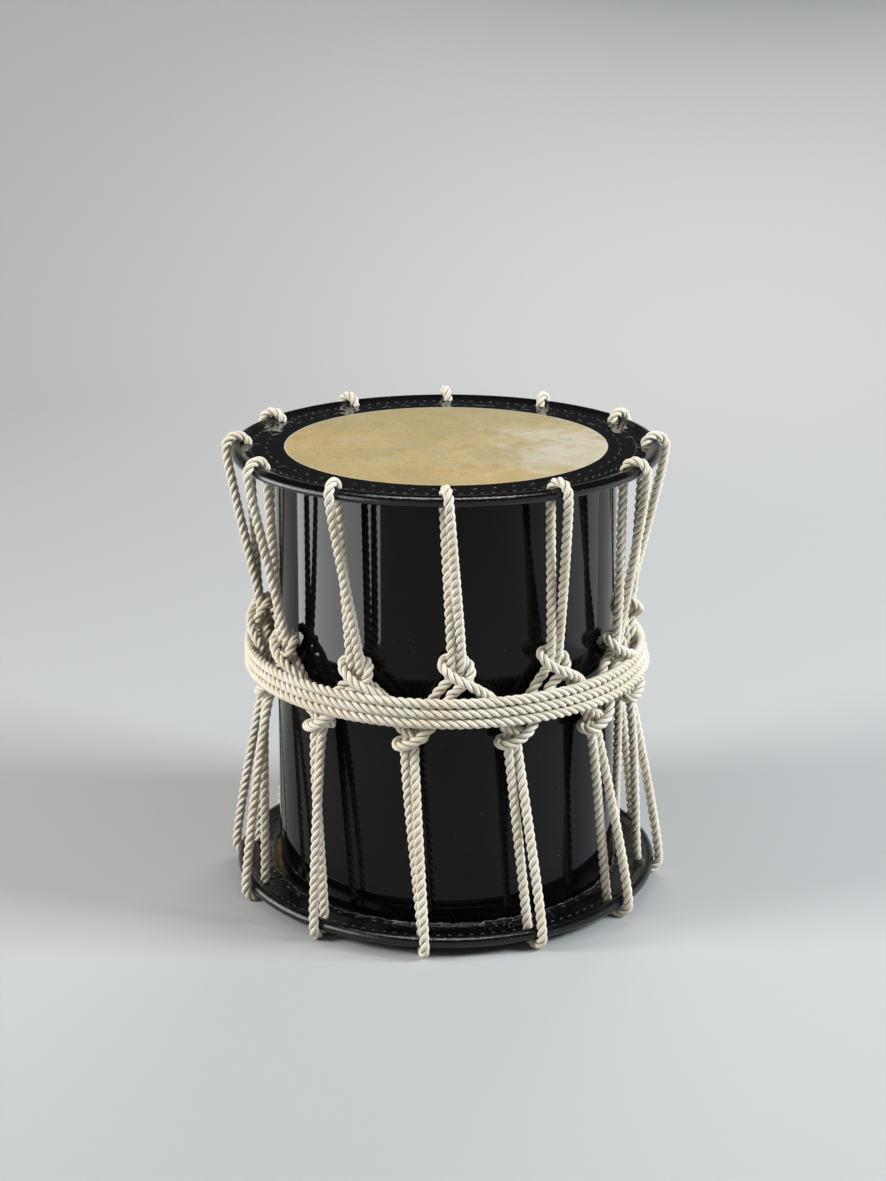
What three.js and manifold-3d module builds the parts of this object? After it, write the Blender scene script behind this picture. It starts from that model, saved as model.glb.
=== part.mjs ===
// Okedo taiko: a rope-tensioned barrel drum standing on end.
// Millimetres, +Z up, origin on the floor under the middle of the drum, front towards -Y.
import * as THREE from 'three';
import { mergeVertices } from 'three/addons/utils/BufferGeometryUtils.js';
import Module from 'manifold-3d';

const wasm = await Module();
wasm.setup();

// Body
const bodyDiameter = 364;
const bodyLength = 460;
const bodyWall = 15;
const staveCount = 16;
const staveJoint = 0.3;
const bearingRound = 4;

// Heads: rawhide folded round an iron rod and stitched back on itself
const hideThickness = 1.8;
const rodDiameter = 8;
const ringReach = 40;
const rimProud = 3.4;
const hemWidth = 29;
const seatGap = 0.3;

// Ropes
const ropeDiameter = 10;
const ropeGap = 0.4;
const holeClearance = 1;
const loopLean = 2.5;
const strandStandoff = 19.5;
const strandSpacing = 11.8;
const turnPitch = 10.6;
const turnCount = 3;
const waistRise = 9.5;
const bayCount = 12;

// Turn of each row about the drum's axis, in degrees to the right of the front
const topLoopTurn = 0;
const upperHitchTurn = 2.8;
const lowerHitchTurn = -10.5;
const bottomLoopTurn = -6;

// Faceting
const roundSteps = 48;
const rimSteps = 10;
const rodSides = 7;
const edgeSteps = 1;
const holeSides = 10;
const loopSteps = 6;
const turnSteps = 24;
const lacingSides = 6;
const hitchSides = 5;

// Sizes that follow from those above
const bodyRadius = bodyDiameter / 2;
const ropeRadius = ropeDiameter / 2;
const ringRadius = bodyRadius + ringReach;
const rodRadius = rodDiameter / 2;
const rimBore = rodRadius + seatGap;
const rimRadius = rimBore + hideThickness;
const rimDrop = rimRadius - rimProud;
const loopRadius = rimRadius + ropeGap + ropeRadius;
const footFlat = ropeDiameter / 10;
const strandRadius = bodyRadius + strandStandoff;
const turnRadius = (strandRadius + ropeDiameter + ropeGap) / Math.cos(Math.PI / turnSteps);
const bayAngle = 2 * Math.PI / bayCount;

// Heights, from the floor up
const bottomRingHeight = loopRadius + ropeRadius - footFlat;
const bottomSkinHeight = bottomRingHeight - rimDrop;
const bodyBottom = bottomSkinHeight + hideThickness + seatGap;
const bodyTop = bodyBottom + bodyLength;
const topSkinHeight = bodyTop + seatGap + hideThickness;
const topRingHeight = topSkinHeight - rimDrop;
const waistHeight = bodyBottom + bodyLength / 2 + waistRise;

const lacquer = new THREE.MeshStandardMaterial({ color: 0x0b0b0c, roughness: 0.12, metalness: 0 });
const hide = new THREE.MeshStandardMaterial({ color: 0xcdb684, roughness: 0.55, metalness: 0 });
const iron = new THREE.MeshStandardMaterial({ color: 0x4a4845, roughness: 0.6, metalness: 0.9 });
const cotton = new THREE.MeshStandardMaterial({ color: 0xe6dfca, roughness: 0.9, metalness: 0 });

const toRadians = THREE.MathUtils.degToRad;

// A point at a distance from the axis, an angle to the right of the front and a height.
function polar(radius, angle, height) {
  return new THREE.Vector3(radius * Math.sin(angle), -radius * Math.cos(angle), height);
}

// A mesh's geometry as a solid that can be joined and cut.
function toSolid(geometry) {
  const bare = geometry.clone();
  bare.deleteAttribute('normal');
  bare.deleteAttribute('uv');
  const welded = mergeVertices(bare, 1e-4);
  const vertProperties = new Float32Array(welded.attributes.position.array);
  const triVerts = new Uint32Array(welded.index.array);
  return new wasm.Manifold(new wasm.Mesh({ numProp: 3, vertProperties, triVerts }));
}

// A solid as a geometry for a mesh.
function toGeometry(solid) {
  const mesh = solid.getMesh();
  const geometry = new THREE.BufferGeometry();
  geometry.setAttribute('position', new THREE.BufferAttribute(new Float32Array(mesh.vertProperties), 3));
  geometry.setIndex(new THREE.BufferAttribute(new Uint32Array(mesh.triVerts), 1));
  const faceted = geometry.toNonIndexed();
  faceted.computeVertexNormals();
  return faceted;
}

// A geometry from rings of points, each ring joined to the next, with both end rings filled.
function loft(rings, fill) {
  const sides = rings[0].length;
  const positions = [];
  const faces = [];
  for (const ring of rings) {
    for (const point of ring) {
      positions.push(point.x, point.y, point.z);
    }
  }
  for (let k = 0; k + 1 < rings.length; k += 1) {
    for (let j = 0; j < sides; j += 1) {
      const here = k * sides + j;
      const beside = k * sides + (j + 1) % sides;
      faces.push(here, beside, beside + sides, here, beside + sides, here + sides);
    }
  }
  const last = (rings.length - 1) * sides;
  for (const [a, b, c] of fill) {
    faces.push(c, b, a, last + a, last + b, last + c);
  }
  const geometry = new THREE.BufferGeometry();
  geometry.setAttribute('position', new THREE.Float32BufferAttribute(positions, 3));
  geometry.setIndex(faces);
  geometry.computeVertexNormals();
  return geometry;
}

function namedMesh(name, geometry, material) {
  const mesh = new THREE.Mesh(geometry, material);
  mesh.name = name;
  return mesh;
}

// One stave: the wall's section, rounded where the heads bear on it, turned through its share of the circle.
function staveGeometry() {
  const inner = bodyRadius - bodyWall;
  const section = new THREE.Path();
  section.moveTo(inner, bearingRound);
  section.absarc(inner + bearingRound, bearingRound, bearingRound, Math.PI, 1.5 * Math.PI, false);
  section.absarc(bodyRadius - bearingRound, bearingRound, bearingRound, 1.5 * Math.PI, 2 * Math.PI, false);
  section.absarc(bodyRadius - bearingRound, bodyLength - bearingRound, bearingRound, 0, Math.PI / 2, false);
  section.absarc(inner + bearingRound, bodyLength - bearingRound, bearingRound, Math.PI / 2, Math.PI, false);
  const outline = new THREE.Shape(section.getPoints(edgeSteps)).extractPoints(edgeSteps).shape;
  const share = 2 * Math.PI / staveCount - staveJoint / bodyRadius;
  const steps = Math.round(roundSteps / staveCount);
  const rings = [];
  for (let k = 0; k <= steps; k += 1) {
    const angle = share * (0.5 - k / steps);
    rings.push(outline.map((point) => polar(point.x, angle, point.y)));
  }
  return loft(rings, THREE.ShapeUtils.triangulateShape(outline, []));
}

function makeBody() {
  const body = new THREE.Group();
  body.position.z = bodyBottom;
  for (let k = 0; k < staveCount; k += 1) {
    const stave = namedMesh(`stave_${String(k + 1).padStart(2, '0')}`, staveGeometry(), lacquer);
    stave.rotation.z = 2 * Math.PI * k / staveCount;
    body.add(stave);
  }
  return body;
}

// Points on a circle about the rod's middle, in the plane of radius and height.
function rimArc(radius, from, to, steps) {
  const points = [];
  for (let k = 0; k <= steps; k += 1) {
    const angle = from + (to - from) * k / steps;
    points.push(new THREE.Vector2(ringRadius + radius * Math.cos(angle), radius * Math.sin(angle) - rimDrop));
  }
  return points;
}

// The hide's section from the middle of the skin's outside, round the rim, back along the hem and in
// along the skin's inside. The skin's outside is at height 0, and the slit under the hem stays open.
function hideSection() {
  const slitTop = -hideThickness;
  const slitBottom = slitTop - seatGap;
  const hemBottom = slitBottom - hideThickness;
  const hemEdge = ringRadius - rimRadius - hemWidth;
  const boreFit = rimBore / Math.cos(Math.PI / rodSides);
  const skinMeets = Math.PI - Math.asin(rimDrop / rimRadius);
  const hemMeets = -Math.PI - Math.asin((hemBottom + rimDrop) / rimRadius);
  const slitFloorMeets = -Math.PI - Math.asin((slitBottom + rimDrop) / boreFit);
  const slitRoofMeets = Math.PI - Math.asin((slitTop + rimDrop) / boreFit);
  return [
    new THREE.Vector2(0, 0),
    ...rimArc(rimRadius, skinMeets, hemMeets, rimSteps),
    new THREE.Vector2(hemEdge, hemBottom),
    new THREE.Vector2(hemEdge, slitBottom),
    ...rimArc(boreFit, slitFloorMeets, slitRoofMeets, rodSides),
    new THREE.Vector2(0, slitTop),
  ];
}

// The hide with a hole for the rope just inside the rim at every bay.
function hideGeometry() {
  const turned = new THREE.LatheGeometry(hideSection().reverse(), roundSteps);
  turned.rotateX(Math.PI / 2);
  const holeRadius = ropeRadius + holeClearance;
  const holeDepth = 4 * (2 * hideThickness + seatGap);
  let solid = toSolid(turned);
  for (let k = 0; k < bayCount; k += 1) {
    const hole = new THREE.CylinderGeometry(holeRadius, holeRadius, holeDepth, holeSides);
    hole.rotateX(Math.PI / 2);
    const place = polar(ringRadius - loopRadius, k * bayAngle, 0);
    hole.translate(place.x, place.y, place.z);
    solid = solid.subtract(toSolid(hole));
  }
  return toGeometry(solid);
}

// A hide and the iron rod in its rim, with the skin's outside up and a hole at the front.
function makeHead(hideName, rodName) {
  const head = new THREE.Group();
  head.add(namedMesh(hideName, hideGeometry(), hide));
  const rod = namedMesh(rodName, new THREE.TorusGeometry(ringRadius, rodRadius, rodSides, roundSteps), iron);
  rod.position.z = -rimDrop;
  head.add(rod);
  return head;
}

// The rings of a rope along its route. A hint gives a direction across the rope, square to each ring's first
// corner. Without one, each ring follows the ring before it without twist.
function ropeGeometry(route, sides, hint) {
  const rings = [];
  let across = new THREE.Vector3(0, 0, 1);
  route.forEach((point, k) => {
    const before = route[Math.max(k - 1, 0)];
    const after = route[Math.min(k + 1, route.length - 1)];
    const along = after.clone().sub(before).normalize();
    if (hint) {
      across = hint(point);
    }
    across = across.clone().addScaledVector(along, -across.dot(along)).normalize();
    const side = along.clone().cross(across);
    const ring = [];
    for (let j = 0; j < sides; j += 1) {
      const angle = 2 * Math.PI * j / sides;
      const corner = point.clone().addScaledVector(side, ropeRadius * Math.cos(angle));
      ring.push(corner.addScaledVector(across, -ropeRadius * Math.sin(angle)));
    }
    rings.push(ring);
  });
  const fill = [];
  for (let j = 1; j + 1 < sides; j += 1) {
    fill.push([0, j, j + 1]);
  }
  return loft(rings, fill);
}

// Prints the least gap between stretches of a rope that lie more than a short way apart along it. Ends
// that meet count as neighbours.
function printOwnGap(name, route, endsMeet) {
  const along = [0];
  for (let k = 1; k < route.length; k += 1) {
    along.push(along[k - 1] + route[k].distanceTo(route[k - 1]));
  }
  const total = along[along.length - 1];
  const apart = 3 * ropeDiameter;
  const line = new THREE.Line3();
  const nearest = new THREE.Vector3();
  let least = Infinity;
  for (let k = 0; k < route.length; k += 1) {
    for (let j = 0; j + 1 < route.length; j += 1) {
      const ways = [Math.abs(along[j] - along[k]), Math.abs(along[j + 1] - along[k])];
      const wayRound = endsMeet ? total - Math.max(...ways) : total;
      if (Math.min(...ways, wayRound) > apart) {
        line.set(route[j], route[j + 1]).closestPointToPoint(route[k], true, nearest);
        least = Math.min(least, nearest.distanceTo(route[k]));
      }
    }
  }
  const gap = (least - ropeDiameter).toFixed(2);
  console.log(`${name}: ${total.toFixed(0)} mm long, least gap to itself ${gap} mm`);
}

// A point near the waist, given in rope diameters as [right, outwards, up] from the middle of the waist
// at an angle round the drum, on the cylinder on which the strands cross.
function nearWaist(angle, [right, outwards, up]) {
  const radius = strandRadius + outwards * ropeDiameter;
  const turned = angle + right * ropeDiameter / strandRadius;
  return polar(radius, turned, waistHeight + up * ropeDiameter);
}

// Half a turn of rope about the rim from outside to inside, over a ring (side 1) or under it (side -1).
function loopOverRim(angle, ringHeight, side) {
  const points = [];
  for (let k = 0; k <= loopSteps; k += 1) {
    const swing = Math.PI * k / loopSteps;
    const radius = ringRadius + loopRadius * Math.cos(swing);
    const lean = loopLean * Math.cos(swing) / radius;
    points.push(polar(radius, angle + lean, ringHeight + side * loopRadius * Math.sin(swing)));
  }
  return points;
}

// A route whose last point leads back to its first, with two ends that meet halfway between those points.
function withMeetingEnds(route) {
  const first = route[0];
  const last = route[route.length - 1];
  const middle = first.clone().lerp(last, 0.5);
  const halfGap = first.clone().sub(last).setLength(ropeGap / 2);
  return [middle.clone().add(halfGap), ...route, middle.clone().sub(halfGap)];
}

// Heights, in rope diameters from the waist, where the strands of a pair run side by side
const upperPair = [5.8, 4.4, 3.3];
const lowerPair = [-3.5, -4.6];

// The lacing zigzags between the two rings, one bay to the left at a time. Its ends meet behind the waist
// turns.
function lacingRoute() {
  const half = strandSpacing / 2 / ropeDiameter;
  const startAngle = Math.PI;
  const route = [];
  for (let k = 0; k < bayCount; k += 1) {
    const bay = startAngle - k * bayAngle;
    const upper = bay + toRadians(upperHitchTurn);
    const lower = bay + toRadians(lowerHitchTurn);
    const nextUpper = upper - bayAngle;
    route.push(...loopOverRim(bay + toRadians(topLoopTurn), topRingHeight, 1));
    route.push(...upperPair.map((up) => nearWaist(upper, [-half, 0, up])));
    route.push(...lowerPair.map((up) => nearWaist(lower, [half, 0, up])));
    route.push(...loopOverRim(bay + toRadians(bottomLoopTurn), bottomRingHeight, -1));
    route.push(...lowerPair.toReversed().map((up) => nearWaist(lower, [-half, 0, up])));
    route.push(...upperPair.toReversed().map((up) => nearWaist(nextUpper, [half, 0, up])));
  }
  const firstPair = route.splice(-upperPair.length);
  return withMeetingEnds([...firstPair, ...route]);
}

// The hitch rope's route at an upper and at a lower hitch, in rope diameters as in nearWaist. It comes in
// under its own crossing, goes round behind the pair of strands and leaves in front over itself.
const upperHitch = [
  [-0.75, 0, 0.1], [-0.4, 0, 1], [-0.15, 0, 1.45], [0.05, 0.3, 1.83], [0.4, 0.9, 2.4], [0.9, 1.13, 2.9],
  [1.5, 0.8, 3.5], [1.75, 0, 4.2], [1.15, -0.95, 4.8], [0, -1.08, 5], [-1.15, -0.95, 5], [-1.75, 0, 4.8],
  [-1.3, 1.2, 4.4], [-0.1, 2.1, 3.95], [1.3, 2.2, 3.35], [2.45, 1.55, 2.65], [3.1, 0.65, 2.15],
  [3.6, 0.1, 1.65], [4, 0, 1.2], [4.8, 0, 0], [5.4, 0, -0.9],
];
const lowerHitch = [
  [-0.35, 0, -1.6], [-0.05, 0.4, -1.95], [0.4, 0.98, -2.23], [1.25, 1.13, -2.7], [1.86, 0.25, -3.2],
  [1.4, -0.8, -3.5], [0.4, -1.09, -3.7], [-0.8, -1.09, -3.8], [-1.73, -0.3, -3.9], [-1.55, 0.8, -4],
  [-0.6, 1.95, -3.75], [0.6, 2.3, -3.25], [1.8, 2.15, -2.7], [2.55, 1.3, -2.2], [2.95, 0.6, -2.02],
  [3.2, 0.1, -1.65], [3.4, 0, -1.1],
];

// The hitch rope runs to the right, tying an upper pair and the next lower pair in every bay. Its ends meet
// behind the waist turns.
function hitchRoute() {
  const startAngle = Math.PI;
  const route = [];
  for (let k = 0; k < bayCount; k += 1) {
    const bay = startAngle + k * bayAngle;
    const upper = bay + toRadians(upperHitchTurn);
    const lower = bay + bayAngle + toRadians(lowerHitchTurn);
    route.push(...upperHitch.map((place) => nearWaist(upper, place)));
    route.push(...lowerHitch.map((place) => nearWaist(lower, place)));
  }
  return withMeetingEnds(route);
}

// One end of the waist rope, in rope diameters along its last turn and outwards from the strands: it
// bends in between them and ends square to the body.
const tuckedEnd = [[-2, 1.04], [-0.9, 0.75], [-0.2, 0.1], [0, -0.8], [0, -1.87]];
const waistStart = 6.5;
const waistEnd = 1.3;
const stepDown = toRadians(28);
const stepAhead = toRadians(10);

// The waist rope makes level turns with both ends tucked in. Each turn steps down to the next at the back,
// ahead of where the rope began.
function waistRoute() {
  const reach = -tuckedEnd[0][0];
  const startBay = Math.PI + toRadians(upperHitchTurn);
  const start = startBay + waistStart * ropeDiameter / strandRadius;
  const end = startBay - bayAngle + waistEnd * ropeDiameter / strandRadius + turnCount * 2 * Math.PI;
  const lead = reach * ropeDiameter / strandRadius;
  const rise = turnPitch * (turnCount - 1) / 2 / ropeDiameter;
  const step = 2 * Math.PI / turnSteps;
  const route = [];
  for (const [along, outwards] of tuckedEnd.toReversed()) {
    route.push(nearWaist(start, [-along, outwards, rise]));
  }
  for (let angle = start + lead + step; angle < end - lead; angle += step) {
    const done = (angle - start) / (2 * Math.PI);
    const stepEnd = 1 - stepAhead / (2 * Math.PI);
    const ramp = THREE.MathUtils.smoothstep(done % 1, stepEnd - stepDown / (2 * Math.PI), stepEnd);
    const height = waistHeight + rise * ropeDiameter - turnPitch * (Math.floor(done) + ramp);
    route.push(polar(turnRadius, angle, height));
  }
  for (const [along, outwards] of tuckedEnd) {
    route.push(nearWaist(end, [along, outwards, -rise]));
  }
  return route;
}

function makeRopes() {
  const ropes = new THREE.Group();
  const lacing = lacingRoute();
  const hitches = hitchRoute();
  const waist = waistRoute();
  printOwnGap('lacing_rope', lacing, true);
  printOwnGap('hitch_rope', hitches, true);
  printOwnGap('waist_rope', waist, false);

  // The drum stands on the lower loops of the lacing, which are pressed flat there.
  const rightwards = (point) => new THREE.Vector3(-point.y, point.x, 0).normalize();
  const floorSize = 4 * ringRadius;
  const floor = new THREE.BoxGeometry(floorSize, floorSize, ropeDiameter);
  floor.translate(0, 0, -ropeRadius);
  const laced = toSolid(ropeGeometry(lacing, lacingSides, rightwards));
  ropes.add(namedMesh('lacing_rope', toGeometry(laced.subtract(toSolid(floor))), cotton));

  ropes.add(namedMesh('hitch_rope', ropeGeometry(hitches, hitchSides), cotton));
  const upwards = () => new THREE.Vector3(0, 0, 1);
  ropes.add(namedMesh('waist_rope', ropeGeometry(waist, lacingSides, upwards), cotton));
  return ropes;
}

const drum = new THREE.Group();
drum.add(makeBody());

const holeLag = -loopLean / (ringRadius - loopRadius);

const topHead = makeHead('top_head', 'top_ring');
topHead.position.z = topSkinHeight;
topHead.rotation.z = toRadians(topLoopTurn) + holeLag;
drum.add(topHead);

const bottomHead = makeHead('bottom_head', 'bottom_ring');
bottomHead.position.z = bottomSkinHeight;
bottomHead.rotation.order = 'ZXY';
bottomHead.rotation.x = Math.PI;
bottomHead.rotation.z = Math.PI + toRadians(bottomLoopTurn) + holeLag;
drum.add(bottomHead);

drum.add(makeRopes());

export default drum;
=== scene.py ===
# Okedo taiko: the drum's finished surfaces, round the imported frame. Metres, +Z up, the front towards -Y.
import math

import bpy
import numpy as np
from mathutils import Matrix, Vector


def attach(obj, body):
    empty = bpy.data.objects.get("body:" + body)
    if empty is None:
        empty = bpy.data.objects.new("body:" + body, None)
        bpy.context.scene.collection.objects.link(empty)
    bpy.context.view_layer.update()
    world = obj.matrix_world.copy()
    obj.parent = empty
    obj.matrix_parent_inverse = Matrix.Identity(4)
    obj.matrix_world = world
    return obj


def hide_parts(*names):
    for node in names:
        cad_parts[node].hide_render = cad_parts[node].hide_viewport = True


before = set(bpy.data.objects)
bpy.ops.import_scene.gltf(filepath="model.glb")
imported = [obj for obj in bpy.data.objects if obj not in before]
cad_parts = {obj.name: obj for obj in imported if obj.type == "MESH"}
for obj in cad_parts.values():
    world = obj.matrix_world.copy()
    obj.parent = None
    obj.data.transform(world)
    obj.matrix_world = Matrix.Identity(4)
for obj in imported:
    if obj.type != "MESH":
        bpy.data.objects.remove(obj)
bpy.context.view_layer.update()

# The drum's sizes, as in the part's source. Turns are in degrees to the right.
drum = dict(
    bodyRadius=0.182, bodyLength=0.460, bodyWall=0.015, bearingRound=0.004, staveCount=16,
    hideThickness=0.0018, rodRadius=0.004, seatGap=0.0003, ringReach=0.040, rimProud=0.0034, hemWidth=0.029,
    ropeDiameter=0.010, ropeGap=0.0004, ropePressed=0.001, loopLean=0.0025, strandStandoff=0.0195,
    waistRise=0.0095, bayCount=12,
    topLoopTurn=0.0, upperHitchTurn=2.8, lowerHitchTurn=-10.5, bottomLoopTurn=-6.0,
)
ropeDiameter = drum["ropeDiameter"]
ropeRadius = ropeDiameter / 2
ringRadius = drum["bodyRadius"] + drum["ringReach"]
rimBore = drum["rodRadius"] + drum["seatGap"]
rimRadius = rimBore + drum["hideThickness"]
rimDrop = rimRadius - drum["rimProud"]
hemEdge = ringRadius - rimRadius - drum["hemWidth"]
loopRadius = rimRadius + drum["ropeGap"] + ropeRadius
holeRadius = ringRadius - loopRadius
strandRadius = drum["bodyRadius"] + drum["strandStandoff"]
bayAngle = 2 * math.pi / drum["bayCount"]

# Heights, from the floor up
bottomRingHeight = loopRadius + ropeRadius - drum["ropePressed"]
bottomSkinHeight = bottomRingHeight - rimDrop
bodyBottom = bottomSkinHeight + drum["hideThickness"] + drum["seatGap"]
bodyTop = bodyBottom + drum["bodyLength"]
topSkinHeight = bodyTop + drum["seatGap"] + drum["hideThickness"]
topRingHeight = topSkinHeight - rimDrop
waistHeight = bodyBottom + drum["bodyLength"] / 2 + drum["waistRise"]


# Points at distances from the axis, angles to the right of the front and heights
def polar(radius, angle, height):
    radius, angle, height = np.broadcast_arrays(radius, angle, height)
    return np.stack([radius * np.sin(angle), -radius * np.cos(angle), height], -1)


# Even angles once round
def onceRound(count):
    return np.linspace(0, 2 * math.pi, count, endpoint=False)


# An arc of points in the plane of radius and height
def arc(centre, radius, start, end, steps):
    angle = np.linspace(start, end, steps)
    return np.stack([centre[0] + radius * np.cos(angle), centre[1] + radius * np.sin(angle)], -1)


# Points at one height between two distances from the axis
def level(start, end, height, steps):
    return np.stack([np.linspace(start, end, steps), np.full(steps, height)], -1)


noTris = np.empty((0, 3), int)


# Puts arrays of corners, four-sided faces and triangles into a mesh, with a UV pair for each face corner
def fillMesh(name, material, points, quads, tris=noTris, quadUv=None, triUv=None):
    mesh = bpy.data.meshes.new(name)
    corners = points.reshape(-1, 3).astype(np.float32)
    loops = np.concatenate([quads.ravel(), tris.ravel()]).astype(np.int32)
    totals = np.concatenate([np.full(len(quads), 4), np.full(len(tris), 3)]).astype(np.int32)
    mesh.vertices.add(len(corners))
    mesh.vertices.foreach_set("co", corners.ravel())
    mesh.loops.add(len(loops))
    mesh.loops.foreach_set("vertex_index", loops)
    mesh.polygons.add(len(totals))
    mesh.polygons.foreach_set("loop_start", (np.cumsum(totals) - totals).astype(np.int32))
    mesh.polygons.foreach_set("loop_total", totals)
    mesh.polygons.foreach_set("use_smooth", np.ones(len(totals), bool))
    if quadUv is not None:
        layer = mesh.uv_layers.new(name="surface")
        uv = np.concatenate([quadUv.reshape(-1, 2), triUv.reshape(-1, 2)])
        layer.data.foreach_set("uv", uv.astype(np.float32).ravel())
    mesh.update(calc_edges=True)
    mesh.validate()
    mesh.materials.append(material)
    piece = bpy.data.objects.new(name, mesh)
    bpy.context.scene.collection.objects.link(piece)
    return piece


# A finished piece of the drum, in the place of the frame's nodes
def putPiece(piece, nodes):
    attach(piece, "root")
    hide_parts(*nodes)


# Corner numbers of the faces of a grid of rows by columns whose columns close on themselves, and its rows
# too if asked
def gridFaces(rows, columns, rowsClose=False):
    row = np.arange(rows if rowsClose else rows - 1)[:, None]
    column = np.arange(columns)[None, :]
    nextRow = (row + 1) % rows
    nextColumn = (column + 1) % columns
    corners = [row * columns + column, row * columns + nextColumn,
               nextRow * columns + nextColumn, nextRow * columns + column]
    return np.stack(np.broadcast_arrays(*corners), -1).reshape(-1, 4)


# The same corners' UV: along the rows' own measure and round the columns
def gridUv(rowMeasure, columnMeasure):
    low, high = rowMeasure[:-1], rowMeasure[1:]
    left, right = columnMeasure[:-1], columnMeasure[1:]
    rows = np.stack([low, low, high, high], -1)[:, None, :]
    columns = np.stack([left, right, right, left], -1)[None]
    return np.stack(np.broadcast_arrays(rows, columns), -1).reshape(-1, 4, 2)


# Triangles that close both ends of a tube of rows by columns, each end as a fan from its first corner
def tubeCaps(rows, columns):
    corner = np.arange(1, columns - 1)
    fan = np.stack([np.zeros_like(corner), corner, corner + 1], -1)
    return np.concatenate([fan[:, ::-1], fan + (rows - 1) * columns])


# A new shader node with its settings
def addNode(tree, kind, **values):
    node = tree.nodes.new(kind)
    for name, value in values.items():
        setattr(node, name, value)
    return node


# Feeds each input from a socket, or sets it to a plain value. A name like _2 is an input's number.
def feed(tree, node, **inputs):
    for name, value in inputs.items():
        socket = node.inputs[int(name[1:])] if name[0] == "_" else node.inputs[name.replace("_", " ")]
        if isinstance(value, bpy.types.NodeSocket):
            tree.links.new(value, socket)
        else:
            socket.default_value = value
    return node


# The result of one operation on one or two values
def combine(tree, operation, a, b=0.0, clamp=False):
    node = addNode(tree, "ShaderNodeMath", operation=operation, use_clamp=clamp)
    return feed(tree, node, _0=a, _1=b).outputs[0]


# A smooth step from one result to another as a value goes from low to high
def ramp(tree, value, low, high, toLow=0.0, toHigh=1.0):
    node = addNode(tree, "ShaderNodeMapRange", interpolation_type="SMOOTHSTEP")
    feed(tree, node, Value=value, From_Min=low, From_Max=high, To_Min=toLow, To_Max=toHigh)
    return node.outputs["Result"]


# From one colour to another by a share
def mixColour(tree, share, a, b):
    node = addNode(tree, "ShaderNodeMix", data_type="RGBA")
    return feed(tree, node, _0=share, _6=a, _7=b).outputs[2]


# From one value to another by a share
def mixValue(tree, share, a, b):
    node = addNode(tree, "ShaderNodeMix", data_type="FLOAT")
    return feed(tree, node, _0=share, _2=a, _3=b).outputs[0]


# Soft noise between 0 and 1
def noise(tree, place, scale, detail=2.0, roughness=0.5):
    node = addNode(tree, "ShaderNodeTexNoise")
    return feed(tree, node, Vector=place, Scale=scale, Detail=detail, Roughness=roughness).outputs["Fac"]


# A normal leaned by a height
def bumpNormal(tree, height, strength, distance):
    node = addNode(tree, "ShaderNodeBump")
    return feed(tree, node, Height=height, Strength=strength, Distance=distance).outputs["Normal"]


# An empty node group that takes a place and plain values and puts out plain values
def newGroup(name, values, results):
    group = bpy.data.node_groups.new(name, "ShaderNodeTree")
    group.interface.new_socket(name="Place", in_out="INPUT", socket_type="NodeSocketVector")
    for title in values:
        group.interface.new_socket(name=title, in_out="INPUT", socket_type="NodeSocketFloat")
    for title in results:
        group.interface.new_socket(name=title, in_out="OUTPUT", socket_type="NodeSocketFloat")
    return group, addNode(group, "NodeGroupInput").outputs, addNode(group, "NodeGroupOutput")


# A node group in a material, with its own values
def placeGroup(tree, group, **values):
    return feed(tree, addNode(tree, "ShaderNodeGroup", node_tree=group), **values).outputs


# A material with its nodes and its shader
def newMaterial(name):
    material = bpy.data.materials.new(name)
    material.use_nodes = True
    tree = material.node_tree
    return material, tree, tree.nodes["Principled BSDF"]


# Where a point of the piece is
def objectPlace(tree):
    return addNode(tree, "ShaderNodeTexCoord").outputs["Object"]


# The three parts of a place or a UV pair
def splitPlace(tree, place):
    return feed(tree, addNode(tree, "ShaderNodeSeparateXYZ"), Vector=place).outputs


# The surface's own two measures
def surfaceMeasures(tree):
    uv = addNode(tree, "ShaderNodeUVMap", uv_map="surface").outputs[0]
    split = splitPlace(tree, uv)
    return split["X"], split["Y"]


# Dust: a round speck in some cells of a grid, in more of them where a slow noise is high
def makeDustGroup():
    group, given, out = newGroup("lyingDust", ["Cells", "Size", "Share"], ["Dust"])
    cells = addNode(group, "ShaderNodeTexVoronoi", feature="F1")
    feed(group, cells, Vector=given["Place"], Scale=given["Cells"])
    speck = combine(group, "LESS_THAN", cells.outputs["Distance"], given["Size"])
    draw = feed(group, addNode(group, "ShaderNodeSeparateColor"), Color=cells.outputs["Color"])
    patches = ramp(group, noise(group, given["Place"], scale=14.0), low=0.35, high=0.75)
    often = combine(group, "MULTIPLY", patches, given["Share"])
    chosen = combine(group, "LESS_THAN", draw.outputs["Red"], often)
    feed(group, out, Dust=combine(group, "MULTIPLY", speck, chosen))
    return group


# Gloss laid on by hand: slow waves and fine grit as a height, and cloudy dull patches
def makeBrushedGroup():
    group, given, out = newGroup(
        "brushedGloss", ["Waves", "WaveShare", "Grit", "GritShare"], ["Height", "Dullness"])
    place = given["Place"]
    waves = noise(group, place, given["Waves"], detail=0.6)
    grit = noise(group, place, given["Grit"], detail=3.0, roughness=0.6)
    wavy = combine(group, "MULTIPLY", waves, given["WaveShare"])
    gritty = combine(group, "MULTIPLY", grit, given["GritShare"])
    feed(group, out, Height=combine(group, "ADD", wavy, gritty))
    feed(group, out, Dullness=ramp(group, noise(group, place, scale=9.0, detail=4.0), low=0.3, high=0.75))
    return group


dustGroup = makeDustGroup()
brushedGroup = makeBrushedGroup()

# Black lacquer: deep gloss with hardly any waves, a few dust specks and faint dull patches
lacquerLook = dict(
    black=(0.0025, 0.0025, 0.003, 1), dust=(0.14, 0.13, 0.12, 1),
    polished=0.03, dull=0.07, dusty=0.6, index=1.29,
)


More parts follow.
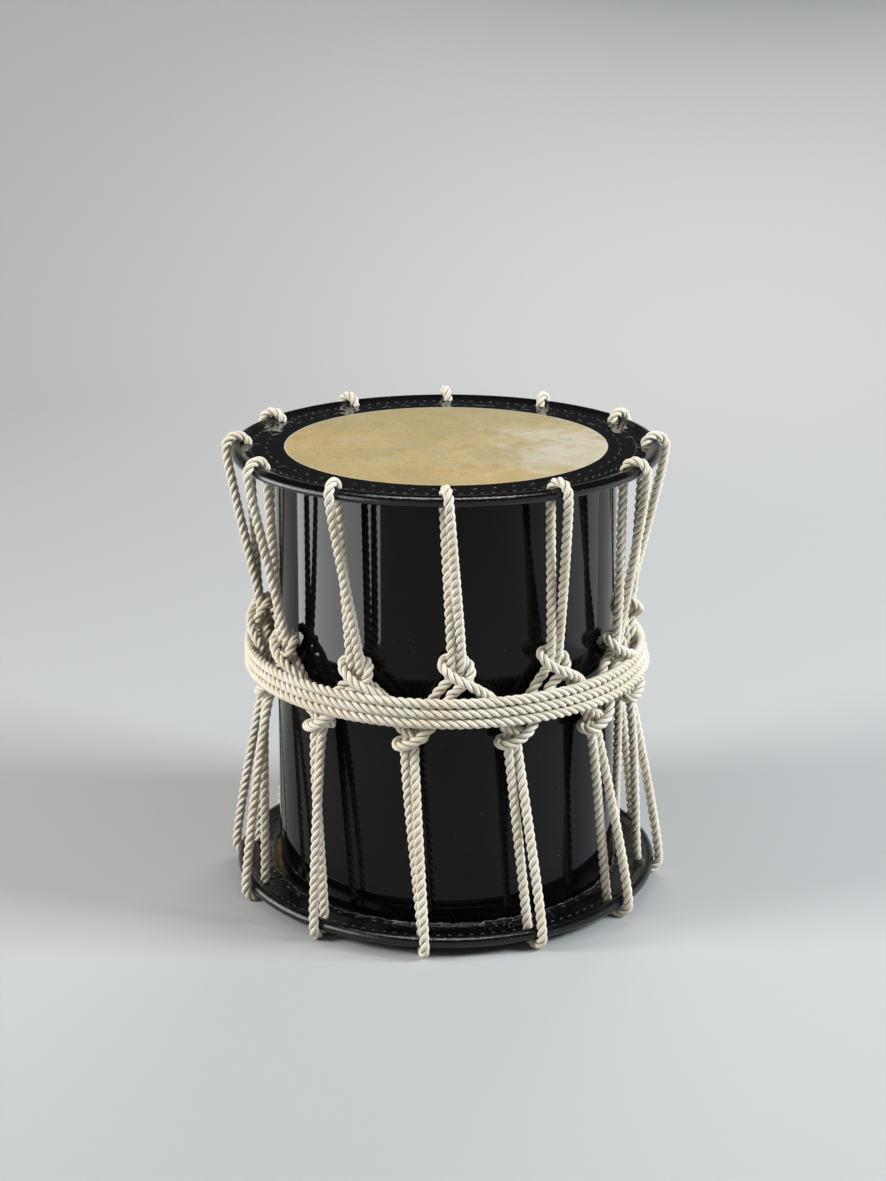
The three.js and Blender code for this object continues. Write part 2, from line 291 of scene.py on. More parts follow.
def makeLacquer():
    material, tree, shader = newMaterial("blackLacquer")
    place = objectPlace(tree)
    dust = placeGroup(tree, dustGroup, Place=place, Cells=420.0, Size=0.16, Share=0.03)["Dust"]
    brushed = placeGroup(
        tree, brushedGroup, Place=place, Waves=7.0, WaveShare=1.0, Grit=500.0, GritShare=0.004)
    gloss = mixValue(tree, brushed["Dullness"], lacquerLook["polished"], lacquerLook["dull"])
    feed(tree, shader, Base_Color=mixColour(tree, dust, lacquerLook["black"], lacquerLook["dust"]))
    feed(tree, shader, Roughness=mixValue(tree, dust, gloss, lacquerLook["dusty"]))
    feed(tree, shader, Normal=bumpNormal(tree, brushed["Height"], strength=0.25, distance=0.0004))
    shader.inputs["IOR"].default_value = lacquerLook["index"]
    return material


# Rawhide: mottled tan skin on the disc, gloss black paint from the disc's edge round the rim to the cut
# edge of the hem, and bare hide inside the fold, painted nearly black there as shade. Waves and grit are
# from the flat to the rim, and roughness from polished to dull.
hideLook = dict(
    tan=(0.440, 0.338, 0.166, 1), pale=(0.512, 0.474, 0.384, 1), deep=(0.345, 0.231, 0.085, 1),
    olive=(0.320, 0.275, 0.150, 1), orange=(0.495, 0.340, 0.125, 1),
    golden=(0.36, 0.26, 0.10, 1), brown=(0.040, 0.029, 0.010, 1), shaded=(0.010, 0.008, 0.005, 1),
    paint=(0.0030, 0.0030, 0.0035, 1), dust=(0.12, 0.11, 0.10, 1), wearAndEdgeHighlight=(0.32, 0.31, 0.285, 1),
    clouds=[dict(stain="pale", scale=10.0, low=0.46, high=0.66, share=0.25),
            dict(stain="olive", scale=12.0, low=0.46, high=0.66, share=0.65),
            dict(stain="orange", scale=14.0, low=0.49, high=0.69, share=0.75)],
    backDrift=0.24, fibreTurn=0.5, fibreStretch=0.3, fibreHeight=0.08, fleckShare=0.65,
    patchAt=(0.14, -0.018, 0), patchShape=(1, 1.6, 1000), patchDrift=0.4, lineFrom=0.0026, lineTo=0.0006,
    discRadius=0.1716, edgeWander=0.0012, edgeBlur=0.0002, foldBlur=0.0001, shadeDrift=0.05,
    rimFrom=0.009, rimTo=0.004, waves=(0.34, 0.12), grit=(0.006, 0.32),
    glossy=(0.01, 0.035), satin=(0.07, 0.15), matt=(0.5, 0.62), index=1.46,
)


# Tan skin: pale, olive and orange clouds, more olive towards the back, fine grain drawn out along the
# skin's fibres, a pale patch with a cloudy edge towards the right, deeper flecks and a pale line beside
# the paint
def skinColour(tree, place, along):
    skin = hideLook["tan"]
    for cloud in hideLook["clouds"]:
        clouded = noise(tree, place, cloud["scale"], detail=6.0, roughness=0.62)
        stainAndShadeShare = ramp(tree, clouded, cloud["low"], cloud["high"], toHigh=cloud["share"])
        skin = mixColour(tree, stainAndShadeShare, skin, hideLook[cloud["stain"]])
    drift = combine(tree, "MULTIPLY", noise(tree, place, scale=14.0, detail=5.0), hideLook["backDrift"])
    backwards = combine(tree, "ADD", splitPlace(tree, place)["Y"], drift)
    behind = ramp(tree, backwards, low=0.15, high=0.27, toHigh=0.7)
    skin = mixColour(tree, behind, skin, hideLook["olive"])

    drawn = addNode(tree, "ShaderNodeMapping")
    feed(tree, drawn, Vector=place, Rotation=(0, 0, hideLook["fibreTurn"]))
    feed(tree, drawn, Scale=(1, hideLook["fibreStretch"], 1))
    fibres = noise(tree, drawn.outputs[0], scale=500.0, detail=4.0, roughness=0.68)
    grain = ramp(tree, fibres, low=0.38, high=0.66, toHigh=0.65)
    skin = mixColour(tree, grain, skin, hideLook["deep"])

    patch = addNode(tree, "ShaderNodeMapping", vector_type="TEXTURE")
    feed(tree, patch, Vector=place, Location=hideLook["patchAt"], Scale=hideLook["patchShape"])
    reach = feed(tree, addNode(tree, "ShaderNodeVectorMath", operation="LENGTH"), Vector=patch.outputs[0])
    cloudy = noise(tree, place, scale=28.0, detail=8.0, roughness=0.7)
    cloudy = combine(tree, "MULTIPLY", cloudy, hideLook["patchDrift"])
    within = combine(tree, "SUBTRACT", cloudy, reach.outputs["Value"])
    faded = ramp(tree, within, low=0.08, high=0.2, toHigh=0.8)
    skin = mixColour(tree, faded, skin, hideLook["pale"])

    flecks = ramp(tree, noise(tree, place, scale=36.0, detail=6.0, roughness=0.7), low=0.52, high=0.7)
    fleckShare = combine(tree, "MULTIPLY", flecks, hideLook["fleckShare"])
    skin = mixColour(tree, fleckShare, skin, hideLook["deep"])
    edge = hideLook["discRadius"]
    line = ramp(tree, along, edge - hideLook["lineFrom"], edge - hideLook["lineTo"], toHigh=0.6)
    return mixColour(tree, line, skin, hideLook["pale"]), fibres, flecks


# Inside the fold: painted shade, nearly black in the narrow slot and brown towards the right, and the
# golden bare hide at the left
def foldColour(tree, place):
    drift = combine(tree, "MULTIPLY", noise(tree, place, scale=18.0, detail=4.0), hideLook["shadeDrift"])
    rightwards = combine(tree, "ADD", splitPlace(tree, place)["X"], drift)
    # Painted shade over the fold, browner towards the right, with the golden bare hide past it at the left
    browned = ramp(tree, rightwards, low=0.08, high=0.14)
    foldShade = mixColour(tree, browned, hideLook["shaded"], hideLook["brown"])
    stainAndShadeShare = ramp(tree, rightwards, low=-0.165, high=-0.145)
    return mixColour(tree, stainAndShadeShare, hideLook["golden"], foldShade)


# Black paint: dusty, rubbed through along the hem's cut edge, and cracked here and there on the hem. The
# pale line along the cut edge is partly rubbed paint and partly a painted highlight of the edge catching
# light.
def paintColour(tree, place, fromEdge):
    dust = placeGroup(tree, dustGroup, Place=place, Cells=380.0, Size=0.2, Share=0.1)["Dust"]
    coat = mixColour(tree, dust, hideLook["paint"], hideLook["dust"])
    rubbedAndGlint = ramp(tree, noise(tree, place, scale=260.0, detail=4.0, roughness=0.6), low=0.38, high=0.56)
    # Pale line at the cut edge: rubbed paint and a painted highlight
    atEdge = ramp(tree, fromEdge, low=0.0009, high=0.0020, toLow=0.7, toHigh=0.0)
    patches = ramp(tree, noise(tree, place, scale=13.0, detail=3.0), low=0.5, high=0.68, toHigh=0.8)
    cracks = ramp(tree, noise(tree, place, scale=380.0, detail=3.0, roughness=0.6), low=0.56, high=0.66)
    onHem = ramp(tree, fromEdge, low=0.014, high=0.021, toLow=0.8, toHigh=0.0)
    cracked = combine(tree, "MULTIPLY", combine(tree, "MULTIPLY", patches, cracks), onHem)
    wearAndEdgeHighlight = combine(tree, "MAXIMUM", combine(tree, "MULTIPLY", rubbedAndGlint, atEdge), cracked)
    return mixColour(tree, wearAndEdgeHighlight, coat, hideLook["wearAndEdgeHighlight"])


# The hide's measure is the distance along its section from the middle. It is given the measures of the
# hem's cut edge and of the place past it where bare hide starts.
def makeHide(edgeAlong, bareFrom):
    material, tree, shader = newMaterial("rawhide")
    place = objectPlace(tree)
    along, _ = surfaceMeasures(tree)

    # Where the paint lies, with a hand-drawn edge
    wander = combine(tree, "SUBTRACT", noise(tree, place, scale=60.0, detail=3.0), 0.5)
    wandered = combine(tree, "ADD", along, combine(tree, "MULTIPLY", wander, hideLook["edgeWander"]))
    edge, blur = hideLook["discRadius"], hideLook["edgeBlur"]
    past = ramp(tree, wandered, edge - blur, edge + blur)
    inside = ramp(tree, along, bareFrom - hideLook["foldBlur"], bareFrom + hideLook["foldBlur"])
    paint = combine(tree, "SUBTRACT", past, inside, clamp=True)

    skin, fibres, flecks = skinColour(tree, place, along)
    # Inside the fold the skin gives way to painted shade
    skin = mixColour(tree, inside, skin, foldColour(tree, place))
    fromEdge = combine(tree, "ABSOLUTE", combine(tree, "SUBTRACT", along, edgeAlong))
    coat = paintColour(tree, place, fromEdge)
    feed(tree, shader, Base_Color=mixColour(tree, paint, skin, coat))

    # The paint is glossy on the flat, and satin and pebbly on the rim and the hem
    rim = ramp(tree, along, ringRadius - hideLook["rimFrom"], ringRadius - hideLook["rimTo"])
    brushed = placeGroup(
        tree, brushedGroup, Place=place, Waves=84.0, WaveShare=mixValue(tree, rim, *hideLook["waves"]),
        Grit=460.0, GritShare=mixValue(tree, rim, *hideLook["grit"]))
    glossy = mixValue(tree, brushed["Dullness"], *hideLook["glossy"])
    satin = mixValue(tree, brushed["Dullness"], *hideLook["satin"])
    matt = mixValue(tree, flecks, *hideLook["matt"])
    feed(tree, shader, Roughness=mixValue(tree, paint, matt, mixValue(tree, rim, glossy, satin)))
    fibrous = combine(tree, "MULTIPLY", fibres, hideLook["fibreHeight"])
    height = mixValue(tree, paint, fibrous, brushed["Height"])
    feed(tree, shader, Normal=bumpNormal(tree, height, strength=0.5, distance=0.0028))
    shader.inputs["IOR"].default_value = hideLook["index"]
    return material


# Stitches: sinew thread under the same black paint, rubbed paler in places; the paler patches within each
# stitch are also painted glints
threadLook = dict(black=(0.014, 0.014, 0.013, 1), rubbedAndGlint=(0.060, 0.058, 0.055, 1))


def makeThread():
    material, tree, shader = newMaterial("paintedSinew")
    place = objectPlace(tree)
    # Paler patches: rubbed paint and painted glints, broken up within each stitch
    rubbedAndGlint = ramp(tree, noise(tree, place, scale=420.0, detail=3.0), low=0.35, high=0.65)
    feed(tree, shader, Base_Color=mixColour(tree, rubbedAndGlint, threadLook["black"], threadLook["rubbedAndGlint"]))
    uneven = noise(tree, place, scale=300.0)
    feed(tree, shader, Roughness=ramp(tree, uneven, low=0.3, high=0.7, toLow=0.22, toHigh=0.36))
    return material


# Forged iron: dark scale with rusty patches
ironLook = dict(
    scale=(0.09, 0.085, 0.08, 1), rust=(0.16, 0.10, 0.06, 1), smooth=0.45, rusty=0.75, metallic=0.9,
)


def makeIron():
    material, tree, shader = newMaterial("forgedIron")
    rust = ramp(tree, noise(tree, objectPlace(tree), scale=90.0, detail=5.0), low=0.35, high=0.7)
    feed(tree, shader, Base_Color=mixColour(tree, rust, ironLook["scale"], ironLook["rust"]))
    feed(tree, shader, Roughness=mixValue(tree, rust, ironLook["smooth"], ironLook["rusty"]))
    shader.inputs["Metallic"].default_value = ironLook["metallic"]
    return material


# Cotton rope: U runs along the rope in metres, V counts its strands round. The grooves between strands
# are painted darker as shade, yarns lie nearly along the rope with painted shade between them, and soft
# noise breaks both up.
ropeLook = dict(
    cream=(0.860, 0.805, 0.675, 1), warm=(0.775, 0.695, 0.535, 1), grooveShade=(0.165, 0.112, 0.060, 1),
    strands=3, lay=0.027, strand=0.00280, offset=0.00242, columns=9, step=0.0014,
    yarns=39, yarnTurn=0.86, yarnDrift=0.03, yarnShade=0.17, yarnHeight=0.55, fuzzHeight=0.6,
)


def makeCotton():
    material, tree, shader = newMaterial("laidCotton")
    place = objectPlace(tree)
    along, strands = surfaceMeasures(tree)
    across = combine(tree, "ABSOLUTE", combine(tree, "SUBTRACT", combine(tree, "FRACT", strands), 0.5))
    # Painted shade: darker towards the grooves between strands
    grooveShade = ramp(tree, across, low=0.36, high=0.5)

    laid = combine(tree, "MULTIPLY", along, ropeLook["yarnTurn"] / ropeLook["lay"])
    turn = combine(tree, "ADD", combine(tree, "DIVIDE", strands, ropeLook["strands"]), laid)
    drift = combine(tree, "MULTIPLY", noise(tree, place, scale=160.0), ropeLook["yarnDrift"])
    phase = combine(tree, "MULTIPLY", combine(tree, "ADD", turn, drift), 2 * math.pi * ropeLook["yarns"])
    yarn = combine(tree, "MULTIPLY", combine(tree, "ADD", combine(tree, "SINE", phase), 1.0), 0.5)
    fuzz = noise(tree, place, scale=1500.0, detail=3.0, roughness=0.6)

    tint = ramp(tree, noise(tree, place, scale=30.0, detail=4.0), low=0.35, high=0.7)
    colour = mixColour(tree, tint, ropeLook["cream"], ropeLook["warm"])
    # Painted shade between the yarns
    shade = combine(tree, "MULTIPLY", combine(tree, "SUBTRACT", 1.0, yarn), ropeLook["yarnShade"])
    colour = mixColour(tree, shade, colour, ropeLook["grooveShade"])
    feed(tree, shader, Base_Color=mixColour(tree, grooveShade, colour, ropeLook["grooveShade"]))
    feed(tree, shader, Roughness=ramp(tree, fuzz, low=0.2, high=0.8, toLow=0.8, toHigh=0.95))
    yarnHeight = combine(tree, "MULTIPLY", yarn, ropeLook["yarnHeight"])
    fuzzHeight = combine(tree, "MULTIPLY", fuzz, ropeLook["fuzzHeight"])
    height = combine(tree, "ADD", yarnHeight, fuzzHeight)
    feed(tree, shader, Normal=bumpNormal(tree, height, strength=0.6, distance=0.00025))
    shader.inputs["Specular IOR Level"].default_value = 0.25
    shader.inputs["Sheen Weight"].default_value = 0.12
    shader.inputs["Sheen Roughness"].default_value = 0.6
    return material


lacquer = makeLacquer()
thread = makeThread()
iron = makeIron()
cotton = makeCotton()
print("materials made")

# Body: the wall's section, rounded where the heads bear on it, turned about the axis. The staves keep a
# hair of flatness under the lacquer.
body = dict(around=360, edgeSteps=8, wallSteps=40, flatness=0.00004)


def makeBody():
    outer, edge = drum["bodyRadius"], drum["bearingRound"]
    inner = outer - drum["bodyWall"]
    low, high = bodyBottom + edge, bodyTop - edge
    wall = np.linspace(low, high, body["wallSteps"])[1:-1]
    quarter = math.pi / 2
    section = np.concatenate([
        arc((outer - edge, low), edge, -quarter, 0, body["edgeSteps"]),
        np.stack([np.full_like(wall, outer), wall], -1),
        arc((outer - edge, high), edge, 0, quarter, body["edgeSteps"]),
        arc((inner + edge, high), edge, quarter, 2 * quarter, body["edgeSteps"]),
        np.stack([np.full_like(wall, inner), wall[::-1]], -1),
        arc((inner + edge, low), edge, 2 * quarter, 3 * quarter, body["edgeSteps"]),
    ])
    angle = onceRound(body["around"])[None, :]
    stave = body["flatness"] * np.cos(angle * drum["staveCount"]) * (section[:, :1] > inner + edge)
    points = polar(section[:, :1] + stave, angle, section[:, 1:])
    piece = fillMesh("lacquered_body", lacquer, points, gridFaces(*points.shape[:2], True))
    putPiece(piece, [f"stave_{k + 1:02d}" for k in range(drum["staveCount"])])


makeBody()
print("body made")

# Heads: what differs between the two, such as how far their stitch rows lie inside the ring
holeLag = -drum["loopLean"] / holeRadius
heads = [
    dict(name="top", side=1, height=topSkinHeight, inner=0.0345, outer=0.0180,
         turn=math.radians(drum["topLoopTurn"]) + holeLag),
    dict(name="bottom", side=-1, height=bottomSkinHeight, inner=0.0310, outer=0.0125,
         turn=math.radians(drum["bottomLoopTurn"]) + holeLag),
]

# Stitching, sewn by eye: both rows and the hem's edge lie a little off centre
stitching = dict(
    offCentre=0.0032, offAngle=math.radians(-65), threadRadius=0.0008, tip=0.03, rise=0.0009, sink=0.0005,
    slant=0.0005, slantCount=173, steps=7, sides=6, holeClear=0.0075,
    rows=[dict(line="inner", count=58, dash=0.0060), dict(line="outer", count=118, dash=0.0050)],
)

# Fold: how the hide rounds onto the rim and off it, how its hem stands up, and how its edge was cut. A
# wave is its size, its count round the drum, its phase, and the size and count of a slower swing of the
# phase.
fold = dict(
    around=640, bend=0.45, hemBend=0.6, run=0.001, discMargin=0.003, hemReach=0.022,
    lift=0.0031, liftReach=0.0075, liftPower=1.5,
    liftWaves=[(0.12, 53, 0, 0, 0), (0.12, 97, 0, 5, 7), (0.09, 173, 0, 3, 11)],
    cutWaves=[(0.0008, 17, 0, 0, 0), (0.0005, 39, 1, 0, 0), (0.0004, 83, 2, 0, 0), (0.0003, 131, 0, 4, 9)],
    steps=dict(disc=12, flat=40, onto=9, rim=24, off=9, hem=26, edge=7, slit=6, bore=12, roof=8, inside=6),
)


# How far rows and hem lie off centre at an angle round the drum
def offCentre(angle):
    return stitching["offCentre"] * np.cos(angle - stitching["offAngle"])


# A stitch row's distance from the axis
def rowRadius(head, row, angle):
    return ringRadius - head[row["line"]] + offCentre(angle)


# The angle from the nearest rope hole, for angles from the head's first hole
def fromHole(angle):
    return (angle + bayAngle / 2) % bayAngle - bayAngle / 2


# A sum of sines round the drum
def waveSum(waves, angle):
    total = 0.0
    for size, count, phase, swing, slow in waves:
        total = total + size * np.sin(count * angle + phase + swing * np.sin(slow * angle))
    return total


# How far the hem stands up from the skin: most at its edge, less by a power of what is left of its reach
# from there, and a little uneven round the drum
def hemRise(fromEdge, angle):
    left = np.clip(1 - fromEdge / fold["liftReach"], 0, 1)
    return fold["lift"] * (1 + waveSum(fold["liftWaves"], angle)) * left ** fold["liftPower"]


# A curve from a flat to an arc: it leaves the flat level and meets the arc along its tangent
def fillet(start, end, slope, steps):
    corner = np.array([end[0] + (start[1] - end[1]) / slope, start[1]])
    t = np.linspace(0, 1, steps)[:, None]
    return (1 - t) ** 2 * np.array(start) + 2 * t * (1 - t) * corner + t**2 * np.array(end)


# Section of a hide from the middle of its outside, round the rim and the hem, back along its inside.
# Heights are from the skin's outside, which is at 0. Also the distances along it, those of the hem's edge
# and of where bare hide starts, and which points are on the outside, on the hem's outside and on the flap
# that stands up.
def hideSection():
    thick, steps = drum["hideThickness"], fold["steps"]
    slitTop, slitBottom = -thick, -thick - drum["seatGap"]
    hemBottom = slitBottom - thick
    centre = (ringRadius, -rimDrop)
    skinMeets = math.pi - math.asin(rimDrop / rimRadius) - fold["bend"]
    hemMeets = -math.pi - math.asin((hemBottom + rimDrop) / rimRadius) + fold["hemBend"]
    floorMeets = -math.pi - math.asin((slitBottom + rimDrop) / rimBore)
    roofMeets = math.pi - math.asin((slitTop + rimDrop) / rimBore)
    rim = arc(centre, rimRadius, skinMeets, hemMeets, steps["rim"])
    bore = arc(centre, rimBore, floorMeets, roofMeets, steps["bore"])
    skinEnd = (rim[0, 0] - rimRadius - fold["run"], 0)
    hemStart = (rim[-1, 0] - rimRadius, hemBottom)
    onto = fillet(skinEnd, rim[0], -1 / math.tan(skinMeets), steps["onto"])
    off = fillet(hemStart, rim[-1], -1 / math.tan(hemMeets), steps["off"])[::-1]
    edgeMiddle = (hemEdge + thick / 2, (slitBottom + hemBottom) / 2)
    disc, wall = hideLook["discRadius"] - fold["discMargin"], drum["bodyRadius"]
    parts = dict(
        disc=level(0, disc, 0, steps["disc"])[:-1],
        flat=level(disc, skinEnd[0], 0, steps["flat"])[:-1],
        onto=onto[:-1],
        rim=rim,
        off=off[1:],
        hem=level(hemStart[0], edgeMiddle[0], hemBottom, steps["hem"])[1:-1],
        edge=arc(edgeMiddle, thick / 2, -math.pi / 2, -1.5 * math.pi, steps["edge"]),
        slit=level(edgeMiddle[0], hemEdge + fold["liftReach"], slitBottom, steps["slit"])[1:],
        bore=bore,
        roof=level(bore[-1, 0], wall, slitTop, steps["roof"])[1:],
        inside=level(wall, 0, slitTop, steps["inside"])[1:],
    )
    points = np.concatenate(list(parts.values()))
    along = np.concatenate([[0], np.cumsum(np.linalg.norm(np.diff(points, axis=0), axis=1))])
    part = np.repeat(list(parts), [len(run) for run in parts.values()])
    edge = np.flatnonzero(part == "edge")
    hem = part == "hem"
    hem[edge[0]] = True
    return dict(
        points=points, along=along, edgeAlong=along[edge[len(edge) // 2]], bareFrom=along[edge[-1]],
        outside=np.isin(part, ["disc", "flat"]), hem=hem, flap=np.isin(part, ["hem", "edge", "slit"]))


# How far the hide's faces are pushed out: a shallow dip at each stitch, a dent with puckers round each
# rope hole, and an uneven lie where the hide was wetted and pulled. All of it fades in outside the disc.
# An uneven wave is its size, its count round the drum and its turn per metre outwards.
relief = dict(
    dip=0.0002, dipReach=0.003, dent=0.0006, dentReach=0.0075,
    pucker=0.00014, puckerCount=7, puckerSwing=3, puckerAt=0.011, puckerReach=0.006,
    uneven=0.000035, unevenWaves=[(1.0, 23, 160), (1.0, 41, -310), (0.7, 67, 420)],
    fadeAt=0.006, fadeReach=0.0015,
)


def hideRelief(head, radius, angle, world):
    push = np.zeros(np.broadcast_shapes(radius.shape, angle.shape))
    for row in stitching["rows"]:
        across = np.exp(-((radius - rowRadius(head, row, world)) / relief["dipReach"]) ** 2)
        push = push - relief["dip"] * across * (0.5 - 0.5 * np.cos(row["count"] * angle))
    sideways = fromHole(angle) * holeRadius
    inwards = radius - holeRadius
    reach = np.hypot(sideways, inwards)
    bearing = np.arctan2(sideways, -inwards)
    push = push - relief["dent"] * np.exp(-(reach / relief["dentReach"]) ** 2)
    swing = relief["puckerSwing"] * np.sin(relief["puckerCount"] * angle)
    wrinkle = np.cos(relief["puckerCount"] * bearing + swing)
    ringed = np.exp(-((reach - relief["puckerAt"]) / relief["puckerReach"]) ** 2)
    push = push + relief["pucker"] * ringed * wrinkle
    for size, count, outwards in relief["unevenWaves"]:
        push = push + relief["uneven"] * size * np.sin(count * angle + outwards * radius)
    fadeFrom = hideLook["discRadius"] + relief["fadeAt"]
    return push / (1 + np.exp(-(radius - fadeFrom) / relief["fadeReach"]))


# A head: the section turned about the axis, with its relief, and with a hem that stands up and was cut by
# hand
def makeHead(head, section, material):
    along, around = section["along"], fold["around"]
    angle = onceRound(around)[None, :]
    world = head["turn"] + head["side"] * angle
    radius, height = section["points"][:, :1], section["points"][:, 1:]
    facing = section["outside"][:, None] * 1.0 - section["hem"][:, None]
    lifted = height + facing * hideRelief(head, radius, angle, world)
    lifted = lifted - section["flap"][:, None] * hemRise(radius - hemEdge, angle)
    nearEdge = np.clip(1 - np.abs(along - section["edgeAlong"]) / fold["hemReach"], 0, 1)[:, None]
    cut = offCentre(world) + waveSum(fold["cutWaves"], angle) * nearEdge**2
    points = polar(radius + cut * nearEdge, world, head["height"] + head["side"] * lifted)

    # The first and last points are the middles of the two faces, which triangles close
    rows = len(along) - 2
    corners = np.concatenate([points[1:-1].reshape(-1, 3), points[:1, 0], points[-1:, 0]])
    quads = gridFaces(rows, around)[:, ::-1]
    column = np.arange(around)
    nextColumn = (column + 1) % around
    lastRow = (rows - 1) * around
    tris = np.concatenate([
        np.stack([np.full(around, rows * around), column, nextColumn], -1),
        np.stack([np.full(around, rows * around + 1), lastRow + nextColumn, lastRow + column], -1)])
    ends = [(along[0], along[1]), (along[-1], along[-2])]
    triUv = np.array([[tip, ring, ring] for tip, ring in ends]).repeat(around, 0)
    triUv = np.stack([triUv, np.zeros_like(triUv)], -1)
    quadUv = gridUv(along[1:-1], np.linspace(0, 1, around + 1))[:, ::-1]
    piece = fillMesh(f"{head['name']}_hide", material, corners, quads, tris, quadUv, triUv)
    putPiece(piece, [f"{head['name']}_head"])


# Stitches: short threads that rise out of the hide and dip back, thinning at their ends, in two rows on
# both faces of a head
def makeStitches(head):
    steps, sides = stitching["steps"], stitching["sides"]
    hemFace = -2 * drum["hideThickness"] - drum["seatGap"]
    t = np.linspace(-1, 1, steps)[None, :, None]
    around = onceRound(sides)[None, None, :]
    thick = stitching["threadRadius"] * np.sqrt(np.clip(1 - t**4, stitching["tip"], 1))
    tube, caps = gridFaces(steps, sides), tubeCaps(steps, sides)
    points, quads, tris = [], [], []
    count = 0
    for face, base in ((1, 0.0), (-1, hemFace)):
        for row in stitching["rows"]:
            centre = (np.arange(row["count"]) + 0.5) / row["count"] * 2 * math.pi
            middle = rowRadius(head, row, head["turn"] + head["side"] * centre)
            holeReach = np.hypot(fromHole(centre) * middle, middle - holeRadius)
            centre = centre[holeReach > stitching["holeClear"]][:, None, None]
            angle = centre + t * row["dash"] / 2 / holeRadius
            world = head["turn"] + head["side"] * angle
            slant = stitching["slant"] * np.sin(stitching["slantCount"] * centre) * t
            radius = rowRadius(head, row, world) + slant + thick * np.cos(around)
            lift = stitching["rise"] * (1 - t**2) - stitching["sink"] + thick * np.sin(around)
            if face == -1:
                fromEdge = ringRadius - head[row["line"]] - hemEdge
                lift = lift + hemRise(fromEdge / (1 - offCentre(world) / fold["hemReach"]), angle)
            places = polar(radius, world, head["height"] + head["side"] * (base + face * lift))
            start = (count + np.arange(len(centre)) * steps * sides)[:, None, None]
            points.append(places.reshape(-1, 3))
            quads.append((tube[:, ::-face] + start).reshape(-1, 4))
            tris.append((caps[:, ::-face] + start).reshape(-1, 3))
            count += len(centre) * steps * sides
    points, quads, tris = np.concatenate(points), np.concatenate(quads), np.concatenate(tris)
    piece = fillMesh(f"{head['name']}_stitches", thread, points, quads, tris)
    putPiece(piece, [f"{head['name']}_head"])


headSection = hideSection()
rawhide = makeHide(headSection["edgeAlong"], headSection["bareFrom"])
for head in heads:
    makeHead(head, headSection, rawhide)
    makeStitches(head)
print("heads and stitches made")

# A rod bent into a ring: a small circle carried round a large one
rod = dict(around=360, sides=20)


def makeRod(name, node, height):
    small = onceRound(rod["sides"])[None, :]
    large = onceRound(rod["around"])[:, None]
    reach = drum["rodRadius"]
    points = polar(ringRadius + reach * np.cos(small), large, height + reach * np.sin(small))
    quads = gridFaces(rod["around"], rod["sides"], True)[:, ::-1]
    putPiece(fillMesh(name, iron, points, quads), [node])


makeRod("top_rod", "top_ring", topRingHeight)
makeRod("bottom_rod", "bottom_ring", bottomRingHeight)
print("rods made")


# A smooth line through the points, centripetal Catmull-Rom: the speed at a point weighs its two chords by
# the square roots of their lengths. It is then cut into even steps.
def smoothRoute(points, step, perSpan=24):
    before = np.concatenate([2 * points[:1] - points[1:2], points[:-1]])
    after = np.concatenate([points[1:], 2 * points[-1:] - points[-2:-1]])
    back = np.sqrt(np.linalg.norm(points - before, axis=1))[:, None]
    ahead = np.sqrt(np.linalg.norm(after - points, axis=1))[:, None]
    speed = (points - before) / back - (after - before) / (back + ahead) + (after - points) / ahead
    t = np.linspace(0, 1, perSpan, endpoint=False)[None, :, None]
    p0, p1 = points[:-1, None], points[1:, None]
    v0, v1 = (speed[:-1] * ahead[:-1])[:, None], (speed[1:] * ahead[:-1])[:, None]
    dense = (2 * t**3 - 3 * t**2 + 1) * p0 + (t**3 - 2 * t**2 + t) * v0
    dense = dense + (3 * t**2 - 2 * t**3) * p1 + (t**3 - t**2) * v1
    dense = np.concatenate([dense.reshape(-1, 3), points[-1:]])
    length = np.concatenate([[0], np.cumsum(np.linalg.norm(np.diff(dense, axis=0), axis=1))])
    even = np.linspace(0, length[-1], round(length[-1] / step) + 1)
    return np.stack([np.interp(even, length, dense[:, k]) for k in range(3)], -1), even


# Directions across a rope that follow it without twist: each is the last one with its part along the rope
# taken out. The first is square to the rope and to any line that the rope doesn't start along.
def carryAcross(along, otherLine=(1.0, 0.3, 0.2)):
    across = np.cross(along[0], otherLine)
    carried = np.empty_like(along)
    for k, direction in enumerate(along):
        across = across - direction * across.dot(direction)
        across = across / np.linalg.norm(across)
        carried[k] = across
    return carried


# Section of a laid rope: round strands about the middle, as distances from the middle at even angles
# across each strand
def strandSection():
    offset, strand, strands = ropeLook["offset"], ropeLook["strand"], ropeLook["strands"]
    across = np.linspace(-math.pi / strands, math.pi / strands, ropeLook["columns"], endpoint=False)
    reach = offset * np.cos(across) + np.sqrt(strand**2 - (offset * np.sin(across)) ** 2)
    turn = across[None, :] + onceRound(strands)[:, None]
    return np.tile(reach, strands), turn.ravel()


